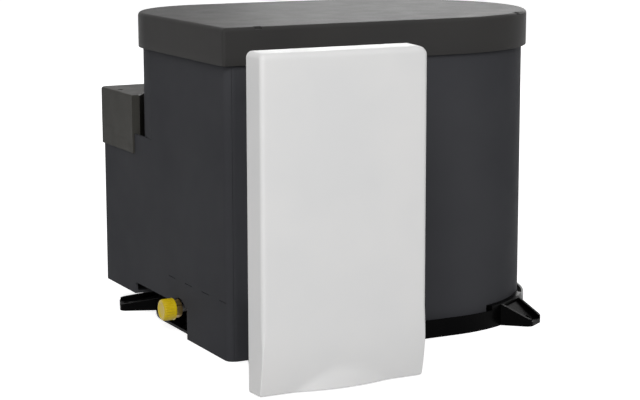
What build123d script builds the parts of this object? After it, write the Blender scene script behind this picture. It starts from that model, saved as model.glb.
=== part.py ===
from build123d import *
import math
import os

# Caravan gas water heater, millimetres.
# Frame: +Z up, origin on the base plane at the axis of the round tank end,
# +X towards the round end, -Y towards the flue cowl and its white cover.

# Whole heater
casing_length = 405.0
casing_depth = 295.0
overall_height = 331.5
panel_wall = 3.0
back_arc_radius = 101.0
front_corner_radius = 10.0
fit_gap = 0.3
cut_over = 2.0

# Lid
lid_overhang = 5.0
lid_plate = 3.0
lid_skirt_wall = 2.4
lid_skirt_height = 37.0
lid_edge_radius = 4.0
lid_corner_radius = 3.0
lid_notch_from_left = 33.0
lid_notch_length = 7.0
lid_notch_width = 1.6
lid_notch_depth = 1.2
lid_rib_wall = 1.6
lid_rib_height = 6.0

# Base tray and feet
tray_height = 19.0
tray_ledge_height = 14.0
tray_lip = 7.0
tray_wall = 3.0
tray_floor = 3.0
tray_step = 6.0
tray_left_margin = 112.0
foot_reach = 33.0
foot_root_width = 46.0
foot_tip_width = 28.0
foot_plate = 5.0
foot_web = 3.0
foot_tip_height = 7.0
foot_tip_radius = 7.0
foot_hole_radius = 2.75
foot_hole_edge = 10.0
foot_angle = 57.0
foot_root_height = 24.0
foot_shoulder_width = 76.0
rim_wall = 2.0
floor_inset = 9.0
side_foot_reach = 75.0
side_foot_overhang = 9.0
side_foot_from_back = 20.0
side_foot_width = 46.0
side_foot_tip = 40.0
side_foot_height = 18.0
side_foot_turn = 160.0
side_foot_hole_edge = 7.0

# Side panel on the gas side, with the squared connection housing behind it
seam_reach = 6.0
housing_length = 100.0
housing_depth = 46.0
housing_bottom = 20.0
housing_drop = 133.5
housing_floor = 3.0
housing_corner_radius = 7.0
opening_front = 105.0
opening_back = 249.0
opening_height = 33.0
opening_arch_radius = 20.0
opening_corner_radius = 4.0
slot_count = 4
slot_first = 13.0
slot_pitch = 43.7
slot_length = 18.0
slot_width = 0.8
slot_depth = 1.0
slot_height = 59.0

# Control box cover over the connection housing
box_overhang = 2.5
box_wall = 2.2
box_lap = 21.0
box_rise = 42.3
box_arc_gap = 5.5
box_front = 243.0
box_recess_depth = 1.2
box_recess_height = 23.0
box_recess_shares = ((0.44, 1.0), (0.8, 0.62), (0.95, 0.4))
box_mark_radius = 3.0
box_mark_depth = 0.8
box_mark_from_left = 7.0
box_mark_from_back = 40.0

# Tank, insulation and heat exchanger
insulation_wall = 22.5
insulation_head = 13.5
insulation_step = 6.0
tank_wall = 1.5
tank_bottom = 24.0
tank_head = 25.5
tank_dome = 34.0
tank_knuckle = 18.0
foam_gap = 0.5
neck_width = 86.0
neck_reach = 12.0
neck_wall = 2.0
flange_margin = 13.0
flange_plate = 3.0
gasket_thickness = 2.0
exchanger_plate = 4.0
tube_radius = 23.0
tube_wall = 1.5
tube_low = 100.0
tube_drop = 86.0
tube_clearance = 12.0
screw_radius = 2.4
screw_hole_radius = 2.7
screw_head_radius = 4.5
screw_head = 3.0
flange_screw_rows = 4

# Burner chamber and what it holds
duct_width = 70.0
duct_margin = 40.0
duct_wall = 2.0
duct_centre = 58.4
chamber_depth = 205.0
burner_radius = 14.0
burner_wall = 1.2
burner_length = 118.0
burner_mouth = 40.0
burner_flare_radius = 19.0
burner_flare = 14.0
burner_slot_count = 9
burner_slot_width = 1.6
burner_plate_radius = 30.0
burner_plate = 2.5
jet_gap = 5.0
jet_radius = 4.0
jet_length = 9.0
jet_hex = 12.0
jet_holder_length = 14.0
jet_bore_radius = 0.6
rod_radius = 2.6
rod_wire_radius = 0.9
rod_offset = 18.2
rod_outside = 26.0
rod_inside = 14.0
rod_wire_inside = 20.0
exhaust_radius = 22.0
exhaust_wall = 1.2
exhaust_bend = 42.0
cutout_radius = 11.0
cutout_height = 7.0
cutout_clearance = 3.0
sensor_radius = 4.0
sensor_length = 16.0

# Cowl: the caravan wall fits between the casing and the cowl seal
wall_gap = 60.0
seal_thickness = 2.0
cowl_flange = 3.0
cowl_width = 120.0
cowl_above_duct = 36.0
cowl_below_duct = 42.0
cowl_flange_margin = 5.0
cowl_flange_rise = 14.0
cowl_rim = 4.0
cowl_wall = 2.5
cowl_depth = 57.0
cowl_corner_radius = 8.0
cowl_hole_radius = 2.25
cowl_hole_inset = 7.0
cowl_hole_side_inset = 17.0
vent_count = 9
vent_height = 12.0
vent_depth = 14.0
grille_thickness = 3.0
grille_set_back = 5.0
grille_slot_count = 6
grille_slot_share = 0.6
grille_margin = 10.0

# White cowl cover
cover_width = 174.6
cover_above_cowl = 23.9
cover_below_cowl = 17.4
cover_depth = 28.7
cover_back_gap = 109.1
cover_wall = 2.5
cover_corner_radius = 9.0
cover_edge_radius = 5.0
cover_draft = 2.0
cover_curl_height = 58.0
cover_curl_depth = 7.4
pull_lip_width = 100.0
pull_lip_height = 24.0

# Gas line
gas_line_back = 126.0
gas_line_height = 29.0
pipe_radius = 4.0
pipe_wall = 1.0
pipe_out = 17.0
nut_across = 17.0
nut_length = 7.3
nut_turned = 1.1
nut_out = 6.2
cap_radius = 11.5
cap_length = 13.6
cap_bore_depth = 11.4
cap_flute_count = 24
cap_flute_radius = 1.0
valve_left = 27.0
valve_length = 50.0
valve_depth = 40.0
valve_bottom = 8.0
valve_height = 42.0
coil_radius = 15.0
coil_length = 34.0
coil_flange = 2.5
plunger_radius = 5.0
plunger_length = 32.0
plunger_travel = 2.0
plunger_gap = 0.2
spring_radius = 3.6
spring_wire = 0.7
spring_length = 6.0
spring_turns = 4
supply_radius = 3.0
supply_wall = 0.8
supply_bend = 10.0

# Water pipes
water_radius = 6.0
water_wall = 1.0
cold_offset = 75.0
hot_offset = 25.0
water_pipe_inset = 42.0
water_reach = 32.0
grommet_radius = 11.0
grommet_groove_radius = 9.0
grommet_flange = 2.0

# Control board in the connection housing
board_width = 78.0
board_rise = 14.0
board_thickness = 1.6
board_bottom = 62.0
board_stand_off = 6.0
board_post_radius = 3.5
board_hole_inset = 6.0
board_post_drop = 18.0
relay_size = 18.0
relay_height = 15.0
choke_count = 3
choke_radius = 8.0
choke_share = 0.4
choke_height = 12.0
terminal_width = 50.0
terminal_height = 12.0
terminal_depth = 12.0
terminal_ways = 8

# Places worked out from the sizes above
end_radius = casing_depth / 2
left = end_radius - casing_length
front = -end_radius
back = end_radius
casing_top = overall_height - lid_plate
arc_start = back - back_arc_radius
tray_left = left + tray_left_margin
tray_radius = end_radius + tray_lip
housing_top = overall_height - housing_drop
box_bottom = housing_top - box_lap
box_top = housing_top + box_rise
board_height = housing_top + board_rise - board_bottom
gas_y = front + gas_line_back
tank_radius = end_radius - insulation_wall
tank_top = overall_height - tank_head
insulation_split = (tank_bottom + tank_top) / 2
insulation_top = overall_height - insulation_head
flange_left = tank_radius + neck_reach
insulation_left = flange_left - insulation_step
tube_high = tank_top - tube_drop
tube_bend = (tube_high - tube_low) / 2
tube_straight = tank_radius - tube_clearance - tube_radius - tube_bend
neck_height = tube_high - tube_low + neck_width
cold_height = tank_bottom + water_pipe_inset
hot_height = tank_top - water_pipe_inset
water_places = ((-cold_offset, cold_height), (-hot_offset, hot_height))
duct_x = left + duct_centre
duct_left = duct_x - duct_width / 2
duct_right = duct_x + duct_width / 2
duct_bottom = tube_low - duct_margin
duct_top = tube_high + duct_margin
plate_right = -flange_left - gasket_thickness
plate_left = plate_right - exchanger_plate
neck_centre = (tube_low + tube_high) / 2
cowl_bottom = duct_bottom - cowl_below_duct
cowl_height = duct_top + cowl_above_duct - cowl_bottom
cowl_back = front - wall_gap - seal_thickness
cowl_front = cowl_back - cowl_depth
cover_lift = cowl_bottom - cover_below_cowl
cover_height = cowl_height + cover_above_cowl + cover_below_cowl
cover_back = front - cover_back_gap
cover_front = cover_back - cover_depth
pieces = {}


def bar(x_low, x_high, y_low, y_high, z_low, z_high):
    """Box between two corners."""
    size = (x_high - x_low, y_high - y_low, z_high - z_low)
    centre = ((x_low + x_high) / 2, (y_low + y_high) / 2, (z_low + z_high) / 2)
    return Pos(*centre) * Box(*size)


def rod(radius, start, end):
    """Round bar from one point to another."""
    start, end = Vector(*start), Vector(*end)
    run = end - start
    return Plane(start, z_dir=run) * extrude(Circle(radius), run.length)


def pipe(path, radius, wall):
    """Tube of the given outer radius and wall along a path."""
    plane = Plane(path @ 0, z_dir=path % 0)
    outer = sweep(plane * Circle(radius), path)
    inner = sweep(plane * Circle(radius - wall), path)
    return outer - inner


def casing_plan(outset):
    """D-shaped plan of the casing, moved outwards by the given amount."""
    x_left = left - outset
    half_depth = end_radius + outset
    straight = Pos(x_left / 2, 0) * Rectangle(-x_left, 2 * half_depth)
    corners = straight.vertices().group_by(Axis.X)[0].sort_by(Axis.Y)
    straight = fillet(corners[1], back_arc_radius + outset)
    corners = straight.vertices().group_by(Axis.Y)[0].sort_by(Axis.X)
    straight = fillet(corners[0], front_corner_radius + outset)
    return straight + Circle(half_depth)


def housing_plan(outset, front_edge):
    """Square-cornered plan of the connection housing behind the casing's arc."""
    x_low = left - outset
    x_high = left + housing_length + outset
    y_high = back + housing_depth + outset
    size = (x_high - x_low, y_high - front_edge)
    block = Pos((x_low + x_high) / 2, (front_edge + y_high) / 2) * Rectangle(*size)
    corners = block.vertices().group_by(Axis.Y)[-1]
    return fillet(corners, housing_corner_radius + outset)


def stadium(height, width, x_left, x_right, centre):
    """Upright slab with round ends, facing along X."""
    plane = Plane((x_left, 0, centre), x_dir=(0, 0, 1), z_dir=(1, 0, 0))
    shape = SlotOverall(height, width)
    return plane * extrude(shape, x_right - x_left)


def lid_plan(outset):
    """Plan of the lid's skirt: the casing's plan with a nearly sharp front-left corner."""
    x_low, y_low = left - outset, front - outset
    corner = Rectangle(2 * front_corner_radius, 2 * front_corner_radius)
    corner = Pos(x_low + front_corner_radius, y_low + front_corner_radius) * corner
    point = corner.vertices().group_by(Axis.Y)[0].sort_by(Axis.X)[0]
    radius = max(lid_corner_radius + outset - lid_overhang, fit_gap)
    return casing_plan(outset) + fillet(point, radius)


def make_lid():
    """Lid with a skirt that hangs over the casing's rim."""
    outer = extrude(lid_plan(lid_overhang), lid_skirt_height)
    top_edges = outer.faces().sort_by(Axis.Z)[-1].edges()
    outer = fillet(top_edges, lid_edge_radius)
    hollow = extrude(lid_plan(lid_overhang - lid_skirt_wall), lid_skirt_height - lid_plate)
    lid = outer - hollow
    rib = casing_plan(-panel_wall - fit_gap) - casing_plan(-panel_wall - fit_gap - lid_rib_wall)
    lid += Pos(0, 0, lid_skirt_height - lid_plate - lid_rib_height) * extrude(rib, lid_rib_height)
    lid = Pos(0, 0, overall_height - lid_skirt_height) * lid
    notch = Box(lid_notch_length, 2 * lid_notch_width, 2 * lid_notch_depth)
    rim = end_radius + lid_overhang - lid_edge_radius
    lid -= Pos(left + lid_notch_from_left, -rim, overall_height) * notch
    turned = Rot(0, 0, math.degrees(math.pi / 2 - math.pi / 8)) * notch
    return lid - Pos(rim * math.cos(math.pi / 8), -rim * math.sin(math.pi / 8), overall_height) * turned


def make_casing_shell():
    """Wrapped wall of the casing: front, round end, back and the arc of the back-left corner."""
    shell = extrude(casing_plan(0) - casing_plan(-panel_wall), casing_top)
    over = lid_overhang
    shell -= bar(left - over, left + seam_reach + fit_gap, front - over, arc_start + fit_gap,
                 -over, casing_top + over)
    shell -= bar(left - over, left + panel_wall + fit_gap, 0, back, -over, housing_top + fit_gap)
    shell -= bar(tray_left, end_radius + over, front - over, back + over, -over, tray_ledge_height)
    shell -= bar(left - over, tray_left + over, arc_start, back + over, -over, housing_bottom)
    shell -= bar(left - over, left + opening_arch_radius, 0, front + opening_back, -over, opening_height)
    window = bar(duct_left, duct_right, front - over, front + 2 * over, duct_bottom, duct_top)
    shell -= window
    for x, z in water_places:
        shell -= rod(grommet_groove_radius, (x, back - 2 * over, z), (x, back + over, z))
    return shell


def make_side_panel():
    """Flat gas-side panel with the front corner and the squared housing in one moulding."""
    band = extrude(casing_plan(0) - casing_plan(-panel_wall), casing_top)
    keep = bar(left, left + seam_reach, front, arc_start, 0, casing_top)
    panel = band & keep
    ring = housing_plan(0, arc_start) - housing_plan(-panel_wall, arc_start)
    ring -= casing_plan(fit_gap)
    left_wall = bar(left, left + panel_wall, arc_start, back, housing_bottom, housing_top)
    walls = Pos(0, 0, housing_bottom) * extrude(ring, housing_top - housing_bottom)
    floor_shape = housing_plan(0, arc_start) - casing_plan(fit_gap)
    floor = Pos(0, 0, housing_bottom) * extrude(floor_shape, housing_floor)
    floor -= bar(left, left + panel_wall, front, back, 0, housing_top)
    panel = panel + left_wall + walls + floor
    reach = 2 * front_corner_radius
    opening = bar(left - reach, left + reach, front + opening_front, front + opening_back,
                  -reach, opening_height)
    long_edges = opening.edges().filter_by(Axis.X).group_by(Axis.Z)[-1].sort_by(Axis.Y)[-1]
    opening = fillet(long_edges, opening_corner_radius)
    arch_centre = (front + opening_front + opening_arch_radius, opening_arch_radius)
    opening += rod(opening_arch_radius, (left - reach, *arch_centre), (left + reach, *arch_centre))
    panel -= opening
    panel -= bar(left - reach, left + panel_wall, front + opening_back - reach, back + reach,
                 -reach, housing_bottom)
    for number in range(slot_count):
        y = front + slot_first + number * slot_pitch
        low = slot_height - slot_width / 2
        panel -= bar(left - reach, left + slot_depth, y - slot_length / 2, y + slot_length / 2,
                     low, low + slot_width)
    for x, z in board_posts():
        wall = back + housing_depth - panel_wall
        panel += rod(board_post_radius, (x, wall, z), (x, wall - board_stand_off, z))
        panel -= rod(screw_radius / 2, (x, wall, z), (x, wall - board_stand_off - cut_over, z))
    return panel


def foot(reach, root_width, tip_width, root_height):
    """Fixing foot along +X from its root: plate, ramp and two tapering webs."""
    half_root, half_tip = root_width / 2, tip_width / 2
    outline = Polyline((0, -half_root), (reach, -half_tip), (reach, half_tip), (0, half_root),
                       close=True)
    plan = make_face(outline)
    tips = plan.vertices().group_by(Axis.X)[-1]
    plan = fillet(tips, foot_tip_radius)
    inner = offset(plan, -foot_web)
    side = Polyline((0, 0), (reach, 0), (reach, foot_tip_height), (0, root_height),
                    close=True)
    wedge = extrude(Plane.XZ * make_face(side), root_width, both=True)
    block = extrude(plan, root_height) & wedge
    ramp_side = Polyline((-reach, root_height), (0, root_height - foot_web),
                         (reach - foot_tip_radius, foot_plate), (2 * reach, foot_plate),
                         (2 * reach, 2 * root_height), (-reach, 2 * root_height), close=True)
    pocket = extrude(Plane.XZ * make_face(ramp_side), root_width, both=True)
    open_end = Pos(reach, 0) * Rectangle(2 * foot_tip_radius, tip_width - 2 * foot_web)
    return block - (extrude(inner + open_end, 2 * root_height) & pocket)


def make_base_tray():
    """Black tray that carries the casing, with a proud rim round the tank end and three feet."""
    rim_left = Pos(tray_left / 2, 0) * Rectangle(-tray_left, 2 * tray_radius)
    rim = rim_left + Circle(tray_radius)
    seat = offset_plan(tray_radius - rim_wall)
    ledge = offset_plan(end_radius - tray_step)
    under = offset_plan(tray_radius - tray_wall)
    core = offset_plan(end_radius - tray_step + tray_wall)
    tray = extrude(rim, tray_height)
    tray -= Pos(0, 0, tray_ledge_height) * extrude(seat, tray_height)
    tray -= Pos(0, 0, tray_floor) * extrude(ledge, tray_height)
    groove = under - core
    groove -= Pos(tray_left, 0) * Rectangle(2 * tray_wall, 2 * tray_radius)
    tray -= extrude(groove, tray_ledge_height - tray_wall)
    floor = extrude(casing_plan(-floor_inset), tray_floor)
    tray += floor & bar(left, tray_left + tray_wall, front, back, 0, tray_floor)
    tray -= bar(tray_left - tray_wall, tray_left + 2 * tray_wall, front + tray_step, back - tray_step,
                tray_floor, tray_height)
    shoulder_ring = Circle(tray_radius) - Circle(end_radius + fit_gap)
    for sign in (1, -1):
        root = Rot(0, 0, sign * foot_angle) * Pos(tray_radius - foot_web, 0)
        piece = root * foot(foot_reach, foot_root_width, foot_tip_width, foot_root_height)
        tray += piece - extrude(under, foot_root_height)
        shoulder = shoulder_ring & (root * Rectangle(foot_reach, foot_shoulder_width))
        tray += Pos(0, 0, tray_ledge_height) * extrude(shoulder, foot_root_height - tray_ledge_height)
        hole = root * Pos(foot_reach - foot_hole_edge, 0)
        tray -= hole * extrude(Circle(foot_hole_radius), tray_height)
    place = side_foot_place()
    tray += place * foot(side_foot_reach, side_foot_width, side_foot_tip, side_foot_height)
    hole = place * Pos(side_foot_reach - side_foot_hole_edge, 0)
    return tray - hole * extrude(Circle(foot_hole_radius), tray_height)


def side_foot_place():
    """Place of the side foot's root: its tip stands outside the panel, turned towards the back."""
    tip = (left - side_foot_overhang, back - side_foot_from_back)
    turn = math.radians(side_foot_turn)
    root_x = tip[0] - side_foot_reach * math.cos(turn)
    root_y = tip[1] - side_foot_reach * math.sin(turn)
    return Pos(root_x, root_y) * Rot(0, 0, side_foot_turn)


def offset_plan(half_depth):
    """Tray plan of a given half depth: straight part plus round end."""
    straight = Pos(tray_left / 2, 0) * Rectangle(-tray_left, 2 * half_depth)
    return straight + Circle(half_depth)


def make_control_box_cover():
    """Cover that drops over the connection housing, cut away round the casing's arc."""
    outer = box_block(box_overhang, back_arc_radius + box_arc_gap, box_bottom, box_top)
    rim = outer.faces().sort_by(Axis.Z)[-1].edges()
    hollow = box_block(box_overhang - box_wall, back_arc_radius + box_arc_gap + box_wall,
                       box_bottom - cut_over, box_top - box_wall)
    cover = fillet(rim, box_wall) - hollow
    side_length = back + housing_depth - front - box_front
    for length_share, height_share in box_recess_shares:
        cover -= bar(left - 2 * box_overhang, left - box_overhang + box_recess_depth,
                     back + housing_depth - side_length * length_share, back + 2 * housing_depth,
                     box_bottom - cut_over, box_bottom + box_recess_height * height_share)
    mark = Pos(left + box_mark_from_left, back + housing_depth - box_mark_from_back, box_top)
    cover -= mark * Cylinder(box_mark_radius, 2 * box_mark_depth)
    band = housing_plan(fit_gap, arc_start) - housing_plan(-panel_wall - fit_gap, arc_start)
    return cover - extrude(band, housing_top + fit_gap)


def box_block(outset, arc_radius, z_low, z_high):
    """Block of the control box cover for a given outset and inner arc."""
    shape = housing_plan(outset, front + box_front + (box_overhang - outset))
    arc_centre = (left + back_arc_radius, arc_start)
    shape -= Pos(*arc_centre) * Circle(arc_radius)
    shape -= Pos(arc_centre[0] + back_arc_radius / 2, 0) * Rectangle(
        back_arc_radius, 2 * (arc_start + arc_radius))
    return Pos(0, 0, z_low) * extrude(shape, z_high - z_low)


def tank_body(grow):
    """Domed tank solid, grown all round by the given amount."""
    radius = tank_radius + grow
    low, high = tank_bottom - grow, tank_top + grow
    profile = Polyline((0, low), (radius / 2, low), (radius, low + tank_dome),
                       (radius, high - tank_dome), (radius / 2, high), (0, high), close=True)
    face = make_face(profile)
    bends = face.vertices().filter_by(lambda v: v.X > radius / 4)
    knuckles = bends.group_by(Axis.X)[-1]
    face = fillet(knuckles, tank_knuckle + grow)
    bends = face.vertices().filter_by(lambda v: abs(v.X - radius / 2) < tank_wall / 2)
    face = fillet(bends, radius / 2)
    return revolve(Plane.XZ * face, Axis.Z)


def make_water_tank():
    """Stainless tank with a flanged neck on its left side and two pipe sockets."""
    tank = tank_body(0) - tank_body(-tank_wall)
    neck_in = tank_radius - tank_knuckle
    neck = stadium(neck_height, neck_width, -flange_left, -neck_in, neck_centre)
    tank += neck - tank_body(-tank_wall / 2)
    height, width = neck_height + 2 * flange_margin, neck_width + 2 * flange_margin
    tank += stadium(height, width, -flange_left, -flange_left + flange_plate, neck_centre)
    bore_height, bore_width = neck_height - 2 * neck_wall, neck_width - 2 * neck_wall
    tank -= stadium(bore_height, bore_width, -flange_left - cut_over, -neck_in + cut_over, neck_centre)
    for y, z in flange_holes():
        tank -= rod(screw_hole_radius, (-flange_left - cut_over, y, z),
                    (-flange_left + 2 * flange_plate, y, z))
    for x, z in water_places:
        tank -= rod(water_radius, (x, 0, z), (x, tank_radius + cut_over, z))
    return tank


def flange_holes():
    """Places of the flange screws in Y and Z."""
    half = (neck_width + flange_margin) / 2
    span = neck_height - neck_width
    places = []
    for number in range(flange_screw_rows):
        z = neck_centre + span * (number / (flange_screw_rows - 1) - 0.5)
        places.append((half, z))
        places.append((-half, z))
    top = (neck_height + flange_margin) / 2
    places.append((0, neck_centre + top))
    places.append((0, neck_centre - top))
    return places


def make_flange_gasket():
    """Flat gasket between the tank's flange and the heat exchanger's plate."""
    height, width = neck_height + 2 * flange_margin, neck_width + 2 * flange_margin
    gasket = stadium(height, width, plate_right, -flange_left, neck_centre)
    gasket -= stadium(neck_height, neck_width, plate_right - cut_over, -flange_left + cut_over,
                      neck_centre)
    for y, z in flange_holes():
        gasket -= rod(screw_hole_radius, (plate_right - cut_over, y, z),
                      (-flange_left + cut_over, y, z))
    return gasket


def make_heat_exchanger():
    """Plate with the U-shaped flame tube that the burner fires into."""
    height, width = neck_height + 2 * flange_margin, neck_width + 2 * flange_margin
    plate = stadium(height, width, plate_left, plate_right, neck_centre)
    legs = [Line((plate_left, 0, tube_low), (tube_straight, 0, tube_low)),
            ThreePointArc((tube_straight, 0, tube_low), (tube_straight + tube_bend, 0, neck_centre),
                          (tube_straight, 0, tube_high)),
            Line((tube_straight, 0, tube_high), (plate_left, 0, tube_high))]
    path = Wire(legs)
    section = Plane(path @ 0, z_dir=path % 0) * Circle(tube_radius)
    bore = Plane(path @ 0, z_dir=path % 0) * Circle(tube_radius - tube_wall)
    exchanger = (plate + sweep(section, path)) - sweep(bore, path)
    for y, z in flange_holes():
        exchanger -= rod(screw_hole_radius, (plate_left - cut_over, y, z),
                         (plate_right + cut_over, y, z))
    return exchanger


def make_flange_screws():
    """Ring of screws and nuts that clamp the exchanger's plate to the tank."""
    end = -flange_left + flange_plate
    screws = []
    for y, z in flange_holes():
        under_head = plate_left - duct_wall
        screw = rod(screw_head_radius, (under_head - screw_head, y, z), (under_head, y, z))
        screw += rod(screw_radius, (under_head, y, z), (end + screw_head, y, z))
        hexagon = Plane((end, y, z), z_dir=(1, 0, 0)) * extrude(
            RegularPolygon(screw_head_radius, 6), screw_head)
        screws.append(screw + hexagon)
    return Compound(children=screws)


def foam_block(z_low, z_high):
    """Foam that fills the casing round the tank between two heights."""
    reach = end_radius - panel_wall - foam_gap
    shape = Pos(-insulation_left / 2, 0) * Rectangle(insulation_left, 2 * reach) + Circle(reach)
    foam = Pos(0, 0, z_low) * extrude(shape, z_high - z_low)
    foam &= bar(-insulation_left, end_radius, front, back, z_low, z_high)
    foam -= tank_body(foam_gap)
    margin = 2 * flange_margin + 2 * foam_gap + screw_head_radius
    return foam - stadium(neck_height + margin, neck_width + margin,
                          -insulation_left - cut_over, -tank_radius + 2 * tank_knuckle, neck_centre)


def make_insulation_lower():
    """Lower foam shell that stands on the tray and carries the tank."""
    foam = foam_block(tray_floor, insulation_split)
    step = offset_plan(end_radius - tray_step - fit_gap)
    foam -= extrude(offset_plan(end_radius) - step, tray_ledge_height + fit_gap)
    return foam - rod(water_radius + foam_gap, (-cold_offset, 0, cold_height),
                      (-cold_offset, back, cold_height))


def make_insulation_upper():
    """Upper foam shell that covers the tank under the lid."""
    foam = foam_block(insulation_split, insulation_top)
    return foam - rod(water_radius + foam_gap, (-hot_offset, 0, hot_height),
                      (-hot_offset, back, hot_height))


def make_burner_chamber():
    """Room-sealed sheet box between the cowl duct and the exchanger's plate."""
    y_back = front + panel_wall + chamber_depth
    y_front = front + panel_wall + fit_gap
    outer = bar(duct_left, plate_left, y_front, y_back, duct_bottom, duct_top)
    inner = bar(duct_left + duct_wall, plate_left - duct_wall, y_front + duct_wall, y_back - duct_wall,
                duct_bottom + duct_wall, duct_top - duct_wall)
    height, width = neck_height + 2 * flange_margin, neck_width + 2 * flange_margin
    chamber = outer + stadium(height, width, plate_left - duct_wall, plate_left, neck_centre)
    chamber -= inner
    chamber -= stadium(neck_height, neck_width, plate_left - cut_over, plate_left + cut_over,
                       neck_centre)
    chamber -= duct_bore(front, front + 2 * panel_wall)
    for y, z in flange_holes():
        chamber -= rod(screw_hole_radius, (plate_left - 2 * duct_wall, y, z),
                       (plate_left + cut_over, y, z))
    riser = (supply_x(), supply_turn()[0])
    return chamber - rod(supply_radius + fit_gap, (*riser, duct_bottom - cut_over),
                         (*riser, duct_bottom + 2 * duct_wall))


def supply_x():
    """X place of the gas riser, under the middle of the jet holder."""
    return plate_left - burner_mouth - jet_gap - jet_length - jet_holder_length / 2


def supply_turn():
    """Y places of the gas riser at the valve and at the jet, and its bend radius."""
    return gas_y, 0, min(supply_bend, abs(gas_y) * 0.45)


def make_burner_tube():
    """Atmospheric burner: flared mixing tube with cross slots at its firing end."""
    x_end = plate_left - burner_mouth + burner_length
    x_mouth = plate_left - burner_mouth
    tube = rod(burner_radius, (x_mouth + burner_flare, 0, tube_low), (x_end, 0, tube_low))
    flare = Polyline((burner_flare_radius, 0), (burner_radius, burner_flare),
                     (burner_radius - burner_wall, burner_flare),
                     (burner_flare_radius - burner_wall, 0), close=True)
    turned = Plane((x_mouth, 0, tube_low), x_dir=(0, 1, 0), z_dir=(1, 0, 0)) * revolve(
        Plane.XZ * make_face(flare), Axis.Z)
    tube -= rod(burner_radius - burner_wall, (x_mouth, 0, tube_low),
                (x_end - burner_wall, 0, tube_low))
    tube += turned
    disc = rod(burner_plate_radius, (plate_left - burner_plate, 0, tube_low), (plate_left, 0, tube_low))
    disc -= rod(burner_radius, (plate_left - 2 * burner_plate, 0, tube_low),
                (plate_left + burner_plate, 0, tube_low))
    for sign in (1, -1):
        y = sign * rod_offset
        disc -= rod(rod_radius + fit_gap, (plate_left - 2 * burner_plate, y, tube_low),
                    (plate_left + burner_plate, y, tube_low))
    tube += disc
    pitch = (x_end - plate_left) / (burner_slot_count + 2)
    for number in range(burner_slot_count):
        x = plate_left + (number + 2) * pitch
        tube -= bar(x - burner_slot_width / 2, x + burner_slot_width / 2,
                    -burner_radius / 2, burner_radius / 2, tube_low, tube_low + 2 * burner_radius)
    return tube


def make_jet_holder():
    """Brass jet on its hexagon, aimed into the burner's mouth."""
    tip = plate_left - burner_mouth - jet_gap
    root = tip - jet_length
    jet = rod(jet_radius, (root, 0, tube_low), (tip, 0, tube_low))
    place = Plane((root - jet_holder_length, 0, tube_low), x_dir=(0, 1, 0), z_dir=(1, 0, 0))
    hexagon = place * extrude(RegularPolygon(jet_hex / 2, 6, major_radius=False), jet_holder_length)
    bore = rod(jet_bore_radius, (root - jet_holder_length / 2, 0, tube_low),
               (tip + cut_over, 0, tube_low))
    return jet + hexagon - bore


def make_rod(sign):
    """Ceramic-sheathed rod that stands beside the burner tube."""
    y = sign * rod_offset
    sheath = rod(rod_radius, (plate_left - rod_outside, y, tube_low),
                 (plate_left + rod_inside, y, tube_low))
    wire_end = plate_left + rod_inside + rod_wire_inside
    return sheath + rod(rod_wire_radius, (plate_left - rod_outside - rod_radius, y, tube_low),
                        (wire_end, y, tube_low))


def make_exhaust_tube():
    """Inner flue from the exchanger's outlet round to the cowl."""
    corner_x = duct_x
    end_y = cowl_front + grille_set_back + grille_thickness + fit_gap
    path = Wire([Line((plate_left - fit_gap, 0, tube_high), (corner_x + exhaust_bend, 0, tube_high)),
                 ThreePointArc((corner_x + exhaust_bend, 0, tube_high),
                               (corner_x + exhaust_bend * (1 - math.sin(math.pi / 4)),
                                -exhaust_bend * (1 - math.cos(math.pi / 4)), tube_high),
                               (corner_x, -exhaust_bend, tube_high)),
                 Line((corner_x, -exhaust_bend, tube_high), (corner_x, end_y, tube_high))])
    return pipe(path, exhaust_radius, exhaust_wall)


def make_air_duct():
    """Square sleeve that carries combustion air through the caravan wall."""
    y_back = front + panel_wall
    outer = bar(duct_left + fit_gap, duct_right - fit_gap, cowl_back, y_back,
                duct_bottom + fit_gap, duct_top - fit_gap)
    wall = duct_wall + fit_gap
    return outer - bar(duct_left + wall, duct_right - wall, cowl_back - cut_over, y_back + cut_over,
                       duct_bottom + wall, duct_top - wall)


def cowl_block(side_inset, end_inset, y_low, y_high):
    """Rounded upright block on the cowl's axis."""
    centre = cowl_bottom + cowl_height / 2
    radius = max(cowl_corner_radius - side_inset, fit_gap)
    shape = RectangleRounded(cowl_width - 2 * side_inset, cowl_height - 2 * end_inset, radius)
    plane = Plane((duct_x, y_high, centre), x_dir=(1, 0, 0), z_dir=(0, -1, 0))
    return plane * extrude(shape, y_high - y_low)


def duct_bore(y_low, y_high):
    """Cutter for the duct's opening between two Y places."""
    return bar(duct_left + duct_wall, duct_right - duct_wall, y_low, y_high,
               duct_bottom + duct_wall, duct_top - duct_wall)


def make_cowl_seal():
    """Rubber frame between the cowl's flange and the caravan wall."""
    seal_front = front - wall_gap
    seal = cowl_block(-cowl_flange_margin, -cowl_flange_rise, cowl_back, seal_front)
    seal -= bar(duct_left, duct_right, cowl_back - cut_over, seal_front + cut_over, duct_bottom, duct_top)
    for x, z in cowl_screw_holes():
        seal -= rod(cowl_hole_radius, (x, seal_front + cut_over, z), (x, cowl_back - cut_over, z))
    return seal


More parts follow.
